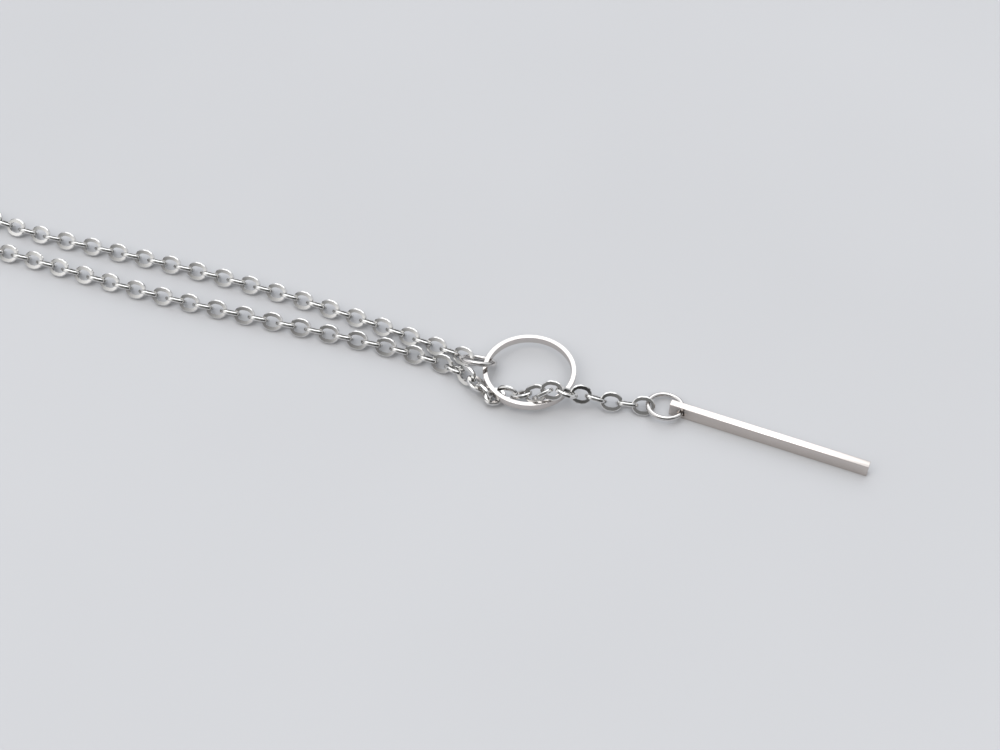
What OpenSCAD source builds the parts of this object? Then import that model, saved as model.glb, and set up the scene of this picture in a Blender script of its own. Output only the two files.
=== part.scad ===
// Threader necklace lying open on a table: one cable chain whose upper end carries an open ring
// and whose lower end is passed through that ring and carries a flat bar.
// Units are millimetres. Z points up and the table is z = 0. X runs along the bar, from the neck
// loop towards the free end. The origin is under the middle of the whole outline.

/* [Chain] */
// Outside length of one oval link
link_length = 3.0; // [2.8:0.05:3.2]
// Outside width of one oval link
link_width = 2.5; // [2.3:0.05:2.7]
// Height of the flat strip the link is made of, across the oval
link_height = 0.5; // [0.4:0.05:0.55]
// Thickness of that strip at the oval's two ends
link_strip = 0.37; // [0.3:0.01:0.37]
// Inside width of the link; its long sides are thicker than its ends
link_hole = 1.6; // [1.6:0.05:1.8]
// Distance from one link to the next that the loop is laid out for
link_pitch = 2.0; // [1.95:0.01:2.03]
// Lean of the lying links, to one side and the other in turn, degrees
link_lean = 45; // [40:1:50]

/* [Open ring] */
// Outside diameter of the open ring
ring_outer = 12.0; // [11.8:0.05:12.2]
// Inside diameter of the open ring
ring_inner = 10.8; // [10.6:0.05:11]
// Height of the ring's band
ring_height = 0.95; // [0.8:0.05:1]
// Height of the band's lower face above the table, where the chain under it holds it up
ring_lift = 1.25; // [1.2:0.05:1.4]

/* [Jump rings] */
// Outside diameter of both jump rings
jump_ring_outer = 5.0; // [4.9:0.05:5.1]
// Wire diameter of both jump rings
jump_ring_wire = 0.55; // [0.4:0.05:0.55]

/* [Bar] */
// Length of the bar
bar_length = 25.5; // [15:0.5:40]
// Thickness of the bar, level as it stands on its narrow side
bar_thick = 0.95; // [0.8:0.05:1.1]
// Height of the bar as it stands
bar_height = 1.9; // [1.8:0.05:2.2]
// Diameter of the crosswise hole for the jump ring
bar_hole = 1.1; // [1:0.05:1.2]
// Distance from the bar's end to the middle of the hole
bar_hole_inset = 1.65; // [1.5:0.05:1.8]

/* [Edges] */
// Flat taken off the long edges of the ring and the bar
edge_break = 0.06; // [0.02:0.01:0.1]

/* [Hidden] */
ring_turn_facets = 96;
end_facets = 32;
wire_facets = 24;
silver = [0.80, 0.80, 0.82];
bright = [0.88, 0.88, 0.90];

// Places below are measured from the middle of the open ring.
// Outline the neck loop is laid along, one point about every 11 to 15 mm, from the ring's side of
// the upper strand, round the neck and back along the lower strand.
// columns: x, y
loop_points = [
    [-11.05, -0.25],
    [-22, 0.3],
    [-33, 0.55],
    [-44, 0.15],
    [-55, -0.75],
    [-66, -1.9],
    [-76, -3],
    [-86, -1.8],
    [-97, 4.5],
    [-109, 13.5],
    [-122, 22.5],
    [-136, 29.5],
    [-151, 33.5],
    [-166, 33.5],
    [-180, 28.5],
    [-191, 19.5],
    [-198, 8],
    [-201, -5],
    [-198, -18],
    [-191, -29.5],
    [-180, -38.5],
    [-166, -43.5],
    [-151, -43.5],
    [-136, -39.5],
    [-122, -32.5],
    [-109, -24],
    [-97, -15.5],
    [-86, -9.2],
    [-76, -7.2],
    [-66, -6.95],
    [-55, -6.6],
    [-44, -5.6],
    [-33, -4.3],
    [-22, -3],
    [-16.5, -2.55],
    [-11.15, -2.55],
];

// Height of the middle of a link that leans and rests on its edge
lying_z = (link_width + link_height) / 2 * sin(link_lean);

// Links set one by one near the ring: the two that end the loop, then the free stretch, which goes
// under the ring's near side, climbs inside it, crosses over its right side and slopes to the bar.
// columns: x, y, height of the middle, roll about the link's length, dip of its front end, turn
loop_ends = [
    [-9.1, -0.36, 1.08, 43, 1, -5],
    [-9.2, -2.88, 1.1, -38, -10, -18],
];
free_links = [
    [-7.32, -3.46, 1.4, 56, 7, -24],
    [-5.63, -4.17, 1.31, -25, 8, -29],
    [-4.19, -5.03, 1.28, -81, 1, -26],
    [-2.77, -4.91, 0.89, 0, -1, 62],
    [-1.34, -4.18, 1.3, 80, -5, 2],
    [0.4, -3.77, 1.52, -33, -19, 18],
    [2.2, -3.42, 2.1, 47, -26, 24],
    [3.18, -3.44, 2.59, -50, -23, 37],
    [4.3, -3.08, 3.36, 44, 0, 8],
    [6.07, -2.55, 3.17, -31, 15, 12],
    [7.63, -1.65, 2.56, 50, 21, 22],
    [9.43, -0.98, 1.86, -43, 13, 13],
    [11.31, -0.39, 1.4, 43, 10, 19],
    [13.22, 0.28, 1.13, -45, 2, 15],
    [15.21, 0.82, 1.07, 45, 0, 17],
];
ring_jump_ring_pose = [-6.85, -0.78, 1.69, -37, -14, -8];
bar_jump_ring_pose = [17.79, 1.86, 1, -8, 0, 0];
bar_start = [18.37, 2.1];

// Smooth line through the outline: a uniform cubic spline, its ends held at the end points
spline_steps = 16;
last_point = len(loop_points) - 1;
before_first = 2 * loop_points[0] - loop_points[1];
after_last = 2 * loop_points[last_point] - loop_points[last_point - 1];
spline_points = concat([before_first], loop_points, [after_last]);
function spline_at(i, t) = (
    pow(1 - t, 3) * spline_points[i]
    + (3 * pow(t, 3) - 6 * t * t + 4) * spline_points[i + 1]
    + (1 + 3 * t + 3 * t * t - 3 * pow(t, 3)) * spline_points[i + 2]
    + pow(t, 3) * spline_points[i + 3]
) / 6;
curve = [
    for (i = [0:last_point - 1])
        for (k = [0:spline_steps - (i == last_point - 1 ? 0 : 1)])
            spline_at(i, k / spline_steps)
];

// Distance along the curve at each of its points, and the places read back from a distance
function run_length(i, sum) = i >= len(curve) ? [] : concat(
    [sum],
    run_length(i + 1, i + 1 < len(curve) ? sum + norm(curve[i + 1] - curve[i]) : 0)
);
curve_runs = run_length(0, 0);
curve_total = curve_runs[len(curve_runs) - 1];
x_by_run = [for (i = [0:len(curve) - 1]) [curve_runs[i], curve[i][0]]];
y_by_run = [for (i = [0:len(curve) - 1]) [curve_runs[i], curve[i][1]]];
function place_at(s) = [lookup(s, x_by_run), lookup(s, y_by_run)];
function heading_at(s) = let (
    a = place_at(max(0, s - link_pitch / 2)),
    b = place_at(min(curve_total, s + link_pitch / 2))
) atan2(b[1] - a[1], b[0] - a[0]);

// An even number of steps brings the lower strand back leaning the same way as the upper one.
loop_steps = 2 * round(curve_total / link_pitch / 2);
step_length = curve_total / loop_steps;
loop_links = [
    for (i = [0:loop_steps])
        let (s = i * step_length, p = place_at(s))
        [p[0], p[1], lying_z, i % 2 == 0 ? link_lean : -link_lean, 0, heading_at(s)]
];

// Middle of the outline, taken to the origin
link_reach = (link_width + link_height) / 2 * sin(link_lean);
outline_left = min([for (p = loop_links) p[0]]) - link_reach;
outline_right = bar_start[0] + bar_length;
outline_front = min([for (p = loop_links) p[1]]) - link_reach;
outline_back = max([for (p = loop_links) p[1]]) + link_reach;
to_origin = [
    -(outline_left + outline_right) / 2,
    -(outline_front + outline_back) / 2,
    0,
];

// Puts a piece drawn about its own middle at its place: x, y, height, roll, dip, turn.
module placed(pose) {
    translate([to_origin[0] + pose[0], to_origin[1] + pose[1], pose[2]])
        rotate([pose[3], pose[4], pose[5]])
            children();
}

// Flat oval with straight sides and round ends.
module oval(length, width) {
    square([length - width, width], center = true);
    for (side = [-1, 1])
        translate([side * (length - width) / 2, 0])
            circle(d = width, $fn = end_facets);
}

// One closed link of flat strip.
module link() {
    linear_extrude(link_height, center = true)
        difference() {
            oval(link_length, link_width);
            oval(link_length - 2 * link_strip, link_hole);
        }
}

// Round wire ring, soldered shut.
module jump_ring() {
    rotate_extrude($fn = ring_turn_facets)
        translate([(jump_ring_outer - jump_ring_wire) / 2, 0])
            circle(d = jump_ring_wire, $fn = wire_facets);
}

// Rectangle with its corners broken, from one corner to the other.
module broken_rectangle(x0, x1, y0, y1) {
    polygon([
        [x0 + edge_break, y0],
        [x1 - edge_break, y0],
        [x1, y0 + edge_break],
        [x1, y1 - edge_break],
        [x1 - edge_break, y1],
        [x0 + edge_break, y1],
        [x0, y1 - edge_break],
        [x0, y0 + edge_break],
    ]);
}

module neck_chain() {
    color(silver) {
        for (pose = loop_links) placed(pose) link();
        for (pose = loop_ends) placed(pose) link();
    }
}

module drop_chain() {
    color(silver)
        for (pose = free_links) placed(pose) link();
}

module ring() {
    color(bright)
        placed([0, 0, ring_lift, 0, 0, 0])
            rotate_extrude($fn = ring_turn_facets)
                broken_rectangle(ring_inner / 2, ring_outer / 2, 0, ring_height);
}

module ring_jump_ring() {
    color(silver) placed(ring_jump_ring_pose) jump_ring();
}

module bar_jump_ring() {
    color(silver) placed(bar_jump_ring_pose) jump_ring();
}

module bar() {
    color(bright)
        placed([bar_start[0], bar_start[1], 0, 0, 0, 0])
            difference() {
                rotate([90, 0, 90])
                    linear_extrude(bar_length)
                        broken_rectangle(-bar_thick / 2, bar_thick / 2, 0, bar_height);
                translate([bar_hole_inset, bar_thick, bar_height / 2])
                    rotate([90, 0, 0])
                        cylinder(d = bar_hole, h = 2 * bar_thick, $fn = ring_turn_facets);
            }
}

neck_chain();
drop_chain();
ring();
ring_jump_ring();
bar_jump_ring();
bar();
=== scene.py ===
import math

import bmesh
import bpy
from mathutils import Matrix, Vector


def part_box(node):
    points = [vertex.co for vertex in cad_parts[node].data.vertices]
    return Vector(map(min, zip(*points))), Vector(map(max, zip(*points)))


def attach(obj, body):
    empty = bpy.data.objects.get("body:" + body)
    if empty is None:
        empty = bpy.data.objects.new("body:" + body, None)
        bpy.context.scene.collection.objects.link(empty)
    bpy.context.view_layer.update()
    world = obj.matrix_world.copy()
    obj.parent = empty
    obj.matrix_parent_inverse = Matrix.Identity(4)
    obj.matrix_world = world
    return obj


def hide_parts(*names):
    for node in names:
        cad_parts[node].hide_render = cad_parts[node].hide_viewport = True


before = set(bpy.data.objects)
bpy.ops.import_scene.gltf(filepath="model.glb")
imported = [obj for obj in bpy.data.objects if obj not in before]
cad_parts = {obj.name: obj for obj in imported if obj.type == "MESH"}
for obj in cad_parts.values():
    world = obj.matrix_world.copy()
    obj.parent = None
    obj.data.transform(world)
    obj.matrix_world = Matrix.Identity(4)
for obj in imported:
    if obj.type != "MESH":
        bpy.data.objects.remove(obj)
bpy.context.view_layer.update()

# The surface that the necklace lies on: one flat sheet of matt laminate, pale and cool grey,
# lying level. Its grain is too fine to show, so only a slow drift of its tone is drawn.
millimetre = 0.001
sheet_half_width = 3.0  # metres
sheet_top = -0.03 * millimetre  # just clear of the underside of the bar
mottle_scale = 9.0  # patches about 11 cm across


def linear_colour(hex_colour):
    """An sRGB hex colour as the linear colour that sockets hold."""
    parts = [int(hex_colour[i:i + 2], 16) / 255 for i in (1, 3, 5)]
    return [c / 12.92 if c <= 0.04045 else ((c + 0.055) / 1.055) ** 2.4 for c in parts] + [1.0]


def add_node(tree, kind, inputs=(), **settings):
    """Adds a node, sets what is named, and fills or links its inputs."""
    new = tree.nodes.new(kind)
    for key, value in settings.items():
        setattr(new, key, value)
    for socket, value in dict(inputs).items():
        if isinstance(value, bpy.types.NodeSocket):
            tree.links.new(value, new.inputs[socket])
        else:
            new.inputs[socket].default_value = value
    return new


def new_material(name):
    """An empty material's node tree, its surface shader and the material."""
    material = bpy.data.materials.new(name)
    material.use_nodes = True
    tree = material.node_tree
    tree.nodes.clear()
    shader = add_node(tree, "ShaderNodeBsdfPrincipled")
    out = add_node(tree, "ShaderNodeOutputMaterial")
    tree.links.new(shader.outputs[0], out.inputs["Surface"])
    return material, tree, shader


def object_from(bm, name, material):
    """Turns a bmesh into an object at the origin, with its place in its mesh, and frees it."""
    mesh = bpy.data.meshes.new(name)
    bm.to_mesh(mesh)
    bm.free()
    mesh.materials.append(material)
    made = bpy.data.objects.new(name, mesh)
    bpy.context.collection.objects.link(made)
    return made


# Matt laminate scatters the light, so it mirrors next to nothing; its tone drifts by a shade.
surface_top, tree, shader = new_material("matt pale table top")
place = add_node(tree, "ShaderNodeTexCoord").outputs["Object"]
mottle = add_node(tree, "ShaderNodeTexNoise", {"Vector": place, "Scale": mottle_scale, "Detail": 3.0})
tint = add_node(tree, "ShaderNodeValToRGB", {"Fac": mottle.outputs["Fac"]})
tint.color_ramp.elements[0].position = 0.35
tint.color_ramp.elements[0].color = linear_colour("#A0A2A6")
tint.color_ramp.elements[1].position = 0.65
tint.color_ramp.elements[1].color = linear_colour("#A3A5A9")
tree.links.new(tint.outputs["Color"], shader.inputs["Base Color"])
shader.inputs["Roughness"].default_value = 0.6
shader.inputs["Specular IOR Level"].default_value = 0.25

bm = bmesh.new()
bmesh.ops.create_grid(bm, x_segments=1, y_segments=1, size=sheet_half_width)
bmesh.ops.translate(bm, vec=(0, 0, sheet_top), verts=bm.verts)
table_top = object_from(bm, "table_top", surface_top)

# The camera: no roll, no shift, looking down at just under 50 degrees. Its place comes from
# the open ring, which is seen as an ellipse, and from how the links' spacing shrinks with distance.
lens_length, film_width = 54.0, 36.0
nearest_seen = 0.01  # metres

# Places are millimetres from the middle of the open ring, as in the part's source. This matrix
# takes them to metres in the shared frame.
ring_corner_low, ring_corner_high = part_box("ring")
ring_middle = [(ring_corner_low[i] + ring_corner_high[i]) / 2 for i in (0, 1)]
to_frame = Matrix.Translation((ring_middle[0], ring_middle[1], 0)) @ Matrix.Scale(millimetre, 4)
camera_place = to_frame @ Vector((44.85, -116.89, 148.04))
look_at = to_frame @ Vector((-3.84, -0.62, 0))
camera_data = bpy.data.cameras.new("camera")
camera_data.lens = lens_length
camera_data.sensor_width = film_width
camera_data.clip_start = nearest_seen
camera = bpy.data.objects.new("camera", camera_data)
bpy.context.collection.objects.link(camera)
camera.location = camera_place
camera.rotation_euler = (look_at - camera_place).to_track_quat("-Z", "Y").to_euler()
bpy.context.scene.camera = camera

# Studio light: a pale room, brightest overhead and behind the necklace, whitens every level face.
# The faces that lean forwards mirror its darker sides, behind the camera, at the right and along
# the horizon. A wide soft fill from the front, which the metal doesn't mirror, fades the shadows.
fill_width, fill_depth = 11.0, 5.0  # metres
fill_offset = Vector((0.1, -0.45, 0.85)) * 6  # metres, from the point looked at
fill_watts = 460.0
room_strength = 1.3
fill_data = bpy.data.lights.new("front fill", "AREA")
fill_data.shape = "RECTANGLE"
fill_data.size = fill_width
fill_data.size_y = fill_depth
fill_data.energy = fill_watts
fill_data.color = linear_colour("#FFF9F2")[:3]
fill = bpy.data.objects.new("front fill", fill_data)
bpy.context.collection.objects.link(fill)
fill.location = look_at + fill_offset
fill.rotation_euler = (look_at - fill.location).to_track_quat("-Z", "Y").to_euler()
fill.visible_glossy = False

world = bpy.data.worlds.new("pale room")
bpy.context.scene.world = world
world.use_nodes = True
tree = world.node_tree
tree.nodes.clear()
direction = add_node(tree, "ShaderNodeTexCoord").outputs["Generated"]


def room_patch(middle, start, full, brightness_away, brightness_within):
    """Brightness that eases from one value to another as the direction nears the patch's middle.
    Nearness is 1 at the middle; the patch starts at `start` and has its own value from `full`."""
    nearness = add_node(
        tree, "ShaderNodeVectorMath",
        {0: direction, 1: Vector(middle).normalized()}, operation="DOT_PRODUCT",
    )
    return add_node(
        tree, "ShaderNodeMapRange",
        {"Value": nearness.outputs["Value"], "From Min": start, "From Max": full,
         "To Min": brightness_away, "To Max": brightness_within},
        interpolation_type="SMOOTHSTEP",
    ).outputs["Result"]


# The way to the middle, the nearness where it starts and where it is full, then the brightness
# away from it and within it.
behind = room_patch((-0.18, 0.6, 0.76), 0.8, 0.94, 0.65, 1.7)
overhead = room_patch((0, -0.12, 0.99), 0.86, 0.985, 0.95, 3.2)
camera_side = room_patch((0.32, -0.74, 0.58), 0.57, 0.93, 1.0, 0.27)
right_side = room_patch((0.92, -0.38, 0.12), 0.72, 0.95, 1.0, 0.3)
left_side = room_patch((-0.8, -0.3, 0.45), 0.7, 1.0, 1.0, 1.5)
way = add_node(tree, "ShaderNodeSeparateXYZ", {0: direction})
horizon = add_node(
    tree, "ShaderNodeMapRange",
    {"Value": way.outputs["Z"], "From Min": 0.02, "From Max": 0.46, "To Min": 0.16, "To Max": 1.0},
    interpolation_type="SMOOTHSTEP",
).outputs["Result"]
room = horizon
for patch in (behind, overhead, camera_side, right_side, left_side):
    room = add_node(tree, "ShaderNodeMath", {0: room, 1: patch}, operation="MULTIPLY").outputs[0]
warmth = add_node(
    tree, "ShaderNodeMapRange", {"Value": way.outputs["Y"], "From Min": -0.7, "From Max": 0.3},
    interpolation_type="SMOOTHSTEP",
).outputs["Result"]
tint = add_node(tree, "ShaderNodeMix", {"Factor": warmth}, data_type="RGBA")
tint.inputs["A"].default_value = linear_colour("#FDFDFD")
tint.inputs["B"].default_value = linear_colour("#FAFCFF")
tone = add_node(
    tree, "ShaderNodeVectorMath", {0: tint.outputs["Result"], "Scale": room}, operation="SCALE",
)
sky = add_node(
    tree, "ShaderNodeBackground", {"Color": tone.outputs["Vector"], "Strength": room_strength},
)
add_node(tree, "ShaderNodeOutputWorld", {"Surface": sky.outputs[0]})
bpy.context.scene.view_settings.view_transform = "Standard"

# The open ring: a flat brass band bent round, soldered, turned true and plated. It lies level,
# held up by the chain under its near side and by its jump ring.
ring_outer, ring_inner = 12.0, 10.8
ring_low, ring_high = 1.25, 2.2
ring_edge_round = 0.07
ring_facets = 120


def plated_metal(name, hex_bright, hex_dull, roughness, grain_mm, grain_depth, stretch):
    """Rhodium plate over polished brass: a bright grey mirror with a trace of warm tone. The
    polishing marks soften it. Real ones are about 0.01 mm wide, too fine to show, so they are
    drawn `grain_mm` wide, and longer along an axis where `stretch` is under 1."""
    cloud_mm = 2.2
    smoothest, roughest = 0.7, 1.35
    material, tree, shader = new_material(name)
    place = add_node(tree, "ShaderNodeTexCoord").outputs["Object"]
    fine = add_node(
        tree, "ShaderNodeMapping",
        {"Vector": place, "Location": [-ring_middle[0], -ring_middle[1], 0]},
    ).outputs["Vector"]
    lines = add_node(
        tree, "ShaderNodeVectorMath", {0: fine, 1: stretch}, operation="MULTIPLY",
    ).outputs["Vector"]
    marks = add_node(
        tree, "ShaderNodeTexNoise",
        {"Vector": lines, "Scale": 1 / (grain_mm * millimetre), "Detail": 4.0},
    )
    cloud = add_node(
        tree, "ShaderNodeTexNoise",
        {"Vector": fine, "Scale": 1 / (cloud_mm * millimetre), "Detail": 2.0},
    )
    tone = add_node(tree, "ShaderNodeMix", {"Factor": cloud.outputs["Fac"]}, data_type="RGBA")
    tone.inputs["A"].default_value = linear_colour(hex_bright)
    tone.inputs["B"].default_value = linear_colour(hex_dull)
    tree.links.new(tone.outputs["Result"], shader.inputs["Base Color"])
    gloss = add_node(
        tree, "ShaderNodeMapRange",
        {"Value": marks.outputs["Fac"], "From Min": 0.3, "From Max": 0.7,
         "To Min": roughness * smoothest, "To Max": roughness * roughest},
    )
    tree.links.new(gloss.outputs["Result"], shader.inputs["Roughness"])
    relief = add_node(
        tree, "ShaderNodeBump",
        {"Height": marks.outputs["Fac"], "Distance": grain_depth * millimetre, "Strength": 0.5},
    )
    tree.links.new(relief.outputs["Normal"], shader.inputs["Normal"])
    shader.inputs["Metallic"].default_value = 1.0
    return material


def sharpen(bm, degrees):
    """Smooth shading that breaks at edges steeper than the given angle."""
    for face in bm.faces:
        face.smooth = True
    for edge in bm.edges:
        edge.smooth = len(edge.link_faces) == 2 and edge.calc_face_angle() < math.radians(degrees)


def soften_edges(bm, width, segments):
    """Rounds every edge where the surface turns by more than 60 degrees."""
    steep = math.radians(60)
    corners = [e for e in bm.edges if len(e.link_faces) == 2 and e.calc_face_angle() > steep]
    bmesh.ops.bevel(
        bm, geom=corners, offset=width, offset_type="OFFSET", affect="EDGES",
        segments=segments, profile=0.5, material=-1, clamp_overlap=True,
    )


# Turned true and then polished, which leaves a soft mirror.
turned_band = plated_metal(
    "rhodium plate, turned and polished", "#D1CBC7", "#CAC6C3",
    roughness=0.12, grain_mm=0.06, grain_depth=0.004, stretch=(1, 1, 1),
)
bm = bmesh.new()
corners = [
    bm.verts.new((x, 0, z))
    for x, z in (
        (ring_inner / 2, ring_low), (ring_outer / 2, ring_low),
        (ring_outer / 2, ring_high), (ring_inner / 2, ring_high),
    )
]
band = [bm.edges.new((corners[i], corners[(i + 1) % 4])) for i in range(4)]
bmesh.ops.spin(
    bm, geom=corners + band, cent=(0, 0, 0), axis=(0, 0, 1), angle=math.tau, steps=ring_facets,
    use_merge=True, use_duplicate=False,
)
bmesh.ops.recalc_face_normals(bm, faces=bm.faces)
soften_edges(bm, ring_edge_round, segments=3)
sharpen(bm, degrees=20)
bmesh.ops.transform(bm, matrix=to_frame, verts=bm.verts)
open_ring = object_from(bm, "open_ring", turned_band)
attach(open_ring, "root")
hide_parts("ring")

# The ring's jump ring: round wire, coiled, sawn and bent shut round the band and the chain's end
# link, with the saw cut as a fine line across it. The wire and the chain's strip are drawn a shade
# thicker than the solids, which need a gap where the real pieces touch.
wire = 0.64
wire_facets = 16
jump_ring_radius = 2.225  # to the middle of the wire
jump_ring_steps = 80
saw_cut = 0.05
saw_cut_edge = 0.025
ring_link_pose, ring_link_cut_at = (-6.85, -0.78, 1.69, -37, -14, -8), 140


def placing(pose):
    """The matrix that lays a piece drawn about its own middle: its x, y and height in millimetres,
    then its roll, dip and turn in degrees."""
    x, y, z, roll, dip, turn = pose
    place = to_frame @ Matrix.Translation((x, y, z))
    for degrees, axis in ((turn, "Z"), (dip, "Y"), (roll, "X")):
        place = place @ Matrix.Rotation(math.radians(degrees), 4, axis)
    return place


def jump_ring(name, pose, cut_at, material):
    """A wire ring with its butt joint at `cut_at` degrees round it."""
    bm = bmesh.new()
    bmesh.ops.create_circle(bm, segments=wire_facets, radius=wire / 2)
    upright = Matrix.Translation((jump_ring_radius, 0, 0)) @ Matrix.Rotation(math.pi / 2, 4, "X")
    bmesh.ops.transform(bm, matrix=upright, verts=bm.verts)
    bmesh.ops.spin(
        bm, geom=bm.verts[:] + bm.edges[:], cent=(0, 0, 0), axis=(0, 0, 1),
        angle=math.tau - saw_cut / jump_ring_radius, steps=jump_ring_steps, use_duplicate=False,
    )
    rims = [e for e in bm.edges if e.is_boundary]
    bmesh.ops.holes_fill(bm, edges=rims, sides=0)
    bmesh.ops.recalc_face_normals(bm, faces=bm.faces)
    soften_edges(bm, saw_cut_edge, segments=1)
    sharpen(bm, degrees=30)
    turn = Matrix.Rotation(math.radians(cut_at), 4, "Z")
    bmesh.ops.transform(bm, matrix=placing(pose) @ turn, verts=bm.verts)
    return object_from(bm, name, material)


# Wire comes smooth from the drawing plate, so it is the clearest mirror of the four metals.
drawn_wire = plated_metal(
    "rhodium plate on drawn wire", "#D9D6D4", "#CCC9C7",
    roughness=0.05, grain_mm=0.09, grain_depth=0.004, stretch=(1, 1, 1),
)
ring_link = jump_ring("ring_jump_ring_wire", ring_link_pose, ring_link_cut_at, drawn_wire)
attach(ring_link, "root")
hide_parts("ring_jump_ring")

# The neck chain: oval links of flat strip, each bent through its neighbour and soldered, then
# barrel polished and plated. Laid on a table the links lean to one side and the other in turn.
link_length, link_width = 3.0, 2.5
strip_height = 0.5
side_width, end_width = 0.55, 0.45
worn_edge, dome = 0.12, 0.04
straight_side = 0.2
oval_facets = 16
lean = 45.0
lying_z = (link_width + strip_height) / 2 * math.sin(math.radians(lean))
pitch = 2.0
# Guide points of the loop's curve, x and y, as in the part's source.
loop_points = [
    (-11.05, -0.25), (-22, 0.3), (-33, 0.55), (-44, 0.15), (-55, -0.75), (-66, -1.9), (-76, -3),
    (-86, -1.8), (-97, 4.5), (-109, 13.5), (-122, 22.5), (-136, 29.5), (-151, 33.5), (-166, 33.5),
    (-180, 28.5), (-191, 19.5), (-198, 8), (-201, -5), (-198, -18), (-191, -29.5), (-180, -38.5),
    (-166, -43.5), (-151, -43.5), (-136, -39.5), (-122, -32.5), (-109, -24), (-97, -15.5),
    (-86, -9.2), (-76, -7.2), (-66, -6.95), (-55, -6.6), (-44, -5.6), (-33, -4.3), (-22, -3),
    (-16.5, -2.55), (-11.15, -2.55),
]
# The two links that end the loop beside the ring: x, y, height, roll, dip, turn.
loop_ends = [(-9.1, -0.36, 1.08, 43, 1, -5), (-9.2, -2.88, 1.1, -38, -10, -18)]


def loop_curve(points, steps=16):
    """The smooth line that the loop is laid along: a uniform cubic spline held at its ends."""
    knots = [Vector(p) for p in points]
    knots = [2 * knots[0] - knots[1]] + knots + [2 * knots[-1] - knots[-2]]
    line = []
    for a, b, c, d in zip(knots, knots[1:], knots[2:], knots[3:]):
        for t in (k / steps for k in range(steps)):
            line.append((
                (1 - t) ** 3 * a + (3 * t ** 3 - 6 * t ** 2 + 4) * b
                + (1 + 3 * t + 3 * t ** 2 - 3 * t ** 3) * c + t ** 3 * d
            ) / 6)
    return line + [knots[-2]]


def loop_poses(points):
    """Poses of the links laid evenly along the line, leaning to one side and the other in turn."""
    line = loop_curve(points)
    runs = [0.0]
    for a, b in zip(line, line[1:]):
        runs.append(runs[-1] + (b - a).length)
    total = runs[-1]

    def at(s):
        s = min(max(s, 0.0), total)
        i = max(k for k in range(len(runs) - 1) if runs[k] <= s)
        return line[i].lerp(line[i + 1], (s - runs[i]) / (runs[i + 1] - runs[i]))

    steps = 2 * round(total / pitch / 2)
    poses = []
    for i in range(steps + 1):
        s = i * total / steps
        way = at(s + pitch / 2) - at(s - pitch / 2)
        roll = lean if i % 2 == 0 else -lean
        poses.append((*at(s), lying_z, roll, 0, math.degrees(math.atan2(way.y, way.x))))
    return poses


def oval(bm, length, width, z):
    """The edges of one turn round an oval whose sides are straight for a short stretch."""
    points = bmesh.ops.create_circle(bm, segments=oval_facets, radius=1)["verts"]
    stretch = Matrix.Diagonal(((length - straight_side) / 2, width / 2, 1, 1))
    half_facet = Matrix.Rotation(math.pi / oval_facets, 4, "Z")
    bmesh.ops.transform(
        bm, matrix=Matrix.Translation((0, 0, z)) @ stretch @ half_facet, verts=points,
    )
    for side in (-1, 1):
        end = [p for p in points if p.co.x * side > 0]
        bmesh.ops.translate(bm, vec=(side * straight_side / 2, 0, 0), verts=end)
    return list(dict.fromkeys(edge for point in points for edge in point.link_edges))


def one_link():
    """One closed link about its own middle: faces a trace domed, outer edges worn by the barrel."""
    bm = bmesh.new()
    half = strip_height / 2
    hole_length, hole_width = link_length - 2 * end_width, link_width - 2 * side_width
    face_length, face_width = link_length - 2 * worn_edge, link_width - 2 * worn_edge
    turns = [
        oval(bm, hole_length, hole_width, half - dome),
        oval(bm, face_length, face_width, half),
        oval(bm, link_length, link_width, half - worn_edge),
        oval(bm, link_length, link_width, worn_edge - half),
        oval(bm, face_length, face_width, -half),
        oval(bm, hole_length, hole_width, dome - half),
    ]
    for turn, following in zip(turns, turns[1:] + turns[:1]):
        bmesh.ops.bridge_loops(bm, edges=turn + following)
    bmesh.ops.recalc_face_normals(bm, faces=bm.faces)
    for face in bm.faces:
        face.smooth = True
    for edge in sum(turns, []):
        edge.smooth = False
    mesh = bpy.data.meshes.new("one link")
    bm.to_mesh(mesh)
    bm.free()
    return mesh


link_shape = one_link()


def chain(name, poses, material):
    """A length of chain: one link set at each pose."""
    bm = bmesh.new()
    for pose in poses:
        done = len(bm.verts)
        bm.from_mesh(link_shape)
        bm.verts.ensure_lookup_table()
        bmesh.ops.transform(bm, matrix=placing(pose), verts=bm.verts[done:])
    return object_from(bm, name, material)


# Tumbled in a barrel before plating, which leaves a bright and slightly uneven mirror.
barrelled = plated_metal(
    "rhodium plate, barrel polished", "#E3E2E0", "#D8D7D5",
    roughness=0.09, grain_mm=0.12, grain_depth=0.006, stretch=(1, 1, 1),
)
neck_links = chain("neck_chain_links", loop_poses(loop_points) + loop_ends, barrelled)
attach(neck_links, "root")
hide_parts("neck_chain")

# The threaded end of the same chain, fifteen links of the same make. It dives under the ring's
# near side, climbs inside it, crosses over its right side and runs on to the bar.
# Columns: x, y, height, roll, dip, turn.
free_poses = [
    (-7.32, -3.46, 1.4, 56, 7, -24),
    (-5.63, -4.17, 1.31, -25, 8, -29),
    (-4.19, -5.03, 1.28, -81, 1, -26),
    (-2.77, -4.91, 0.89, 0, -1, 62),
    (-1.34, -4.18, 1.3, 80, -5, 2),
    (0.4, -3.77, 1.52, -33, -19, 18),
    (2.2, -3.42, 2.1, 47, -26, 24),
    (3.18, -3.44, 2.59, -50, -23, 37),
    (4.3, -3.08, 3.36, 44, 0, 8),
    (6.07, -2.55, 3.17, -31, 15, 12),
    (7.63, -1.65, 2.56, 50, 21, 22),
    (9.43, -0.98, 1.86, -43, 13, 13),
    (11.31, -0.39, 1.4, 43, 10, 19),
    (13.22, 0.28, 1.13, -45, 2, 15),
    (15.21, 0.82, 1.07, 45, 0, 17),
]
drop_links = chain("drop_chain_links", free_poses, barrelled)
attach(drop_links, "root")
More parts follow.
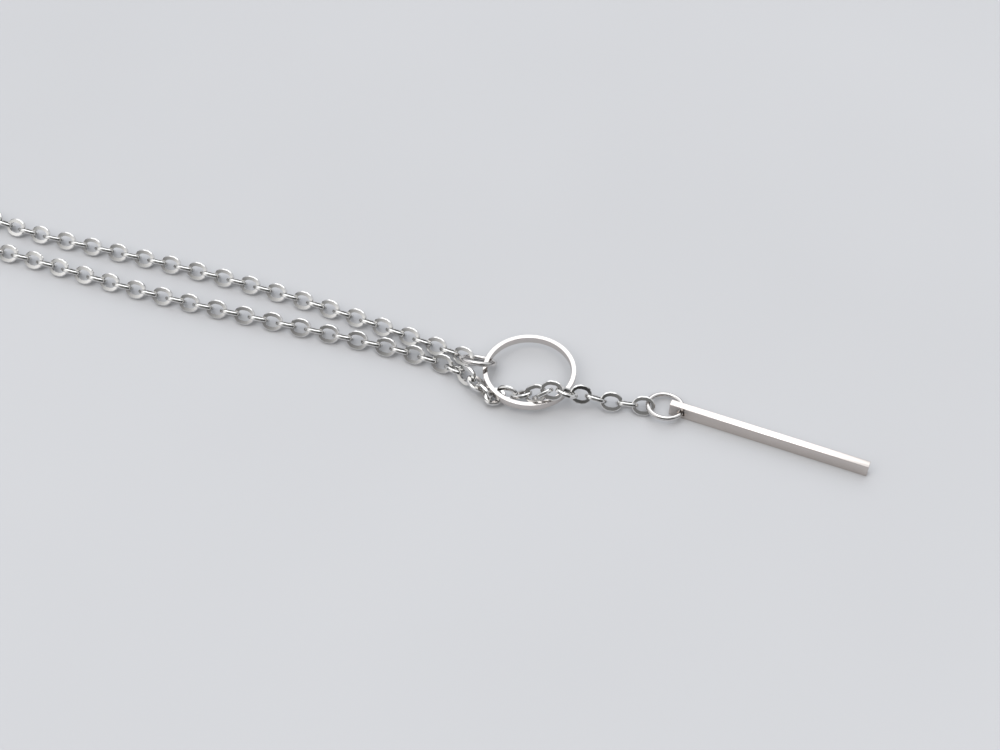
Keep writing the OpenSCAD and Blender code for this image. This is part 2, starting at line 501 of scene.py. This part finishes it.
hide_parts("drop_chain")

# The bar's jump ring: a second ring of the same wire, bent shut through the chain's last link and
# the bar's hole, so that the bar swings freely.
bar_link_pose, bar_link_cut_at = (17.79, 1.86, 1, -8, 0, 0), 96
bar_link = jump_ring("bar_jump_ring_wire", bar_link_pose, bar_link_cut_at, drawn_wire)
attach(bar_link, "root")
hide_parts("bar_jump_ring")

# The bar: flat brass bar stock, sawn to length, drilled crosswise near one end, its edges broken,
# polished lengthwise and plated. It stands on its narrow side.
bar_length, bar_thick, bar_height = 25.5, 0.95, 1.9
bar_hole, bar_hole_inset = 1.1, 1.65
bar_edge_round = 0.06
hole_facets = 40
bar_start = (18.37, 2.1)

bm = bmesh.new()
corners = [
    bm.verts.new((x, 0, z))
    for x, z in ((0, 0), (bar_length, 0), (bar_length, bar_height), (0, bar_height))
]
for i in range(4):
    bm.edges.new((corners[i], corners[(i + 1) % 4]))
circle = bmesh.ops.create_circle(bm, segments=hole_facets, radius=bar_hole / 2)["verts"]
upright = Matrix.Translation((bar_hole_inset, 0, bar_height / 2)) @ Matrix.Rotation(math.pi / 2, 4, "X")
bmesh.ops.transform(bm, matrix=upright, verts=circle)
bmesh.ops.triangle_fill(bm, edges=bm.edges[:], use_beauty=True, use_dissolve=False)
walls = bmesh.ops.extrude_face_region(bm, geom=bm.faces[:])["geom"]
far_side = [g for g in walls if isinstance(g, bmesh.types.BMVert)]
bmesh.ops.translate(bm, vec=(0, bar_thick, 0), verts=far_side)
bmesh.ops.translate(bm, vec=(bar_start[0], bar_start[1] - bar_thick / 2, 0), verts=bm.verts)
bmesh.ops.recalc_face_normals(bm, faces=bm.faces)
soften_edges(bm, bar_edge_round, segments=2)
sharpen(bm, degrees=25)
bmesh.ops.transform(bm, matrix=to_frame, verts=bm.verts)
# Polished lengthwise, so its marks run along the bar and blur what it mirrors.
brushed_bar = plated_metal(
    "rhodium plate, polished lengthwise", "#D3CCC7", "#CBC4BF",
    roughness=0.16, grain_mm=0.07, grain_depth=0.004, stretch=(0.04, 1, 1),
)
flat_bar = object_from(bm, "flat_bar", brushed_bar)
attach(flat_bar, "root")
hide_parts("bar")
